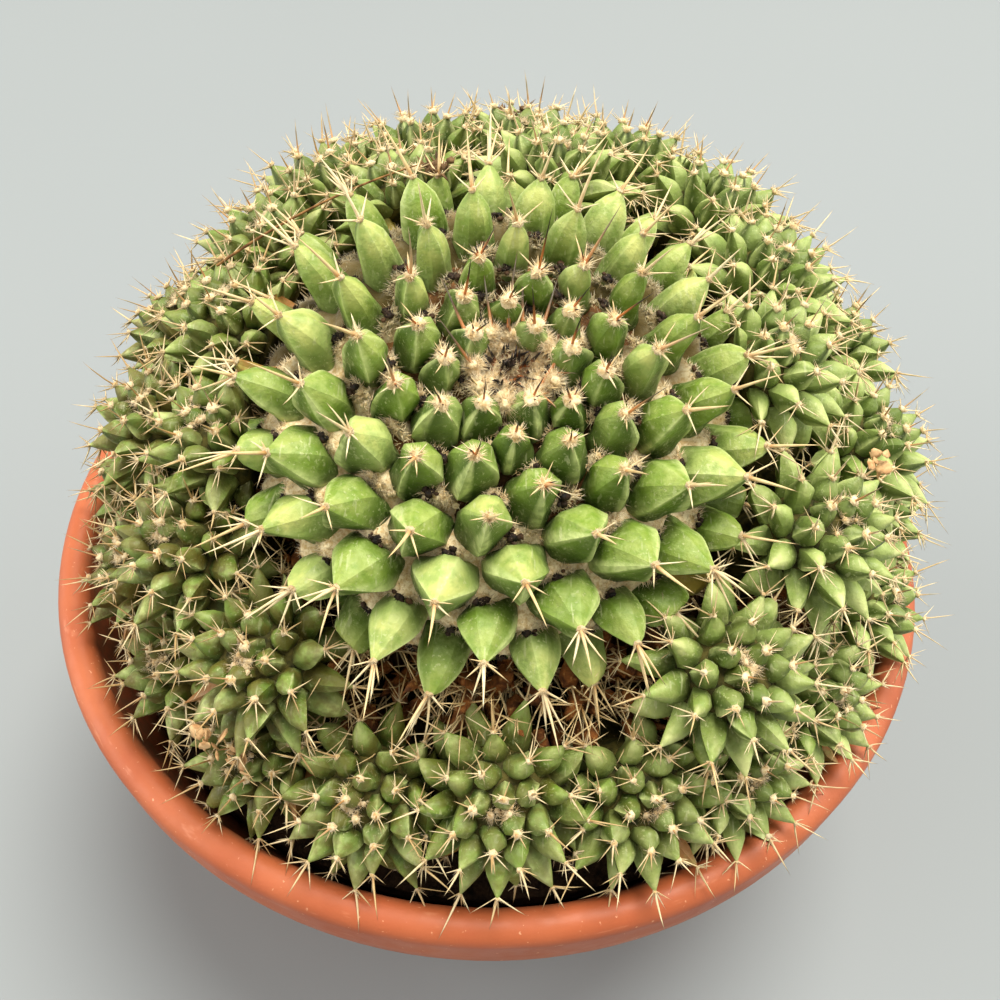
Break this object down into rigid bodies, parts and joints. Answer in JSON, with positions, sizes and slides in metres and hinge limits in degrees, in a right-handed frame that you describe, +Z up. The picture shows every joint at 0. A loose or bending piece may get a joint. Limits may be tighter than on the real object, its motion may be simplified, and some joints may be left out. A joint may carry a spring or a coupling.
{
  "type": "potted cactus clump",
  "caption": "Low domed clump of a clustering pincushion cactus: a large main head leaning to the front, ringed by small heads, in a wide tapered pot with a rounded rim.",
  "frame": {"origin": "centre of the pot's flat underside, on the ground", "axes": "+Z up, -Y the front, which the large head leans towards, +X to the viewer's right"},
  "size_m": [0.169, 0.171, 0.1737],
  "materials": {
    "pot": "matte",
    "soil": "matte",
    "main_flesh": "satin",
    "small_flesh": "satin"
  },
  "bodies": {
    "root": {"pot": "pot", "soil": "soil", "main_head": "main_flesh", "offset_01": "small_flesh", "offset_02": "small_flesh", "offset_03": "small_flesh", "offset_04": "small_flesh", "offset_05": "small_flesh", "offset_06": "small_flesh", "offset_07": "small_flesh", "offset_08": "small_flesh", "offset_09": "small_flesh", "offset_10": "small_flesh", "offset_11": "small_flesh", "offset_12": "small_flesh", "offset_13": "small_flesh", "offset_14": "small_flesh", "offset_15": "small_flesh", "offset_16": "small_flesh", "offset_17": "small_flesh", "offset_18": "small_flesh", "offset_19": "small_flesh", "offset_20": "small_flesh", "offset_21": "small_flesh", "offset_22": "small_flesh", "offset_23": "small_flesh", "offset_24": "small_flesh", "offset_25": "small_flesh", "offset_26": "small_flesh", "offset_27": "small_flesh", "offset_28": "small_flesh", "offset_29": "small_flesh", "offset_30": "small_flesh", "offset_31": "small_flesh", "offset_32": "small_flesh", "offset_33": "small_flesh", "offset_34": "small_flesh", "offset_35": "small_flesh", "offset_36": "small_flesh", "offset_37": "small_flesh", "offset_38": "small_flesh", "offset_39": "small_flesh", "offset_40": "small_flesh", "offset_41": "small_flesh", "offset_42": "small_flesh", "offset_43": "small_flesh", "offset_44": "small_flesh"}
  },
  "joints": []
}
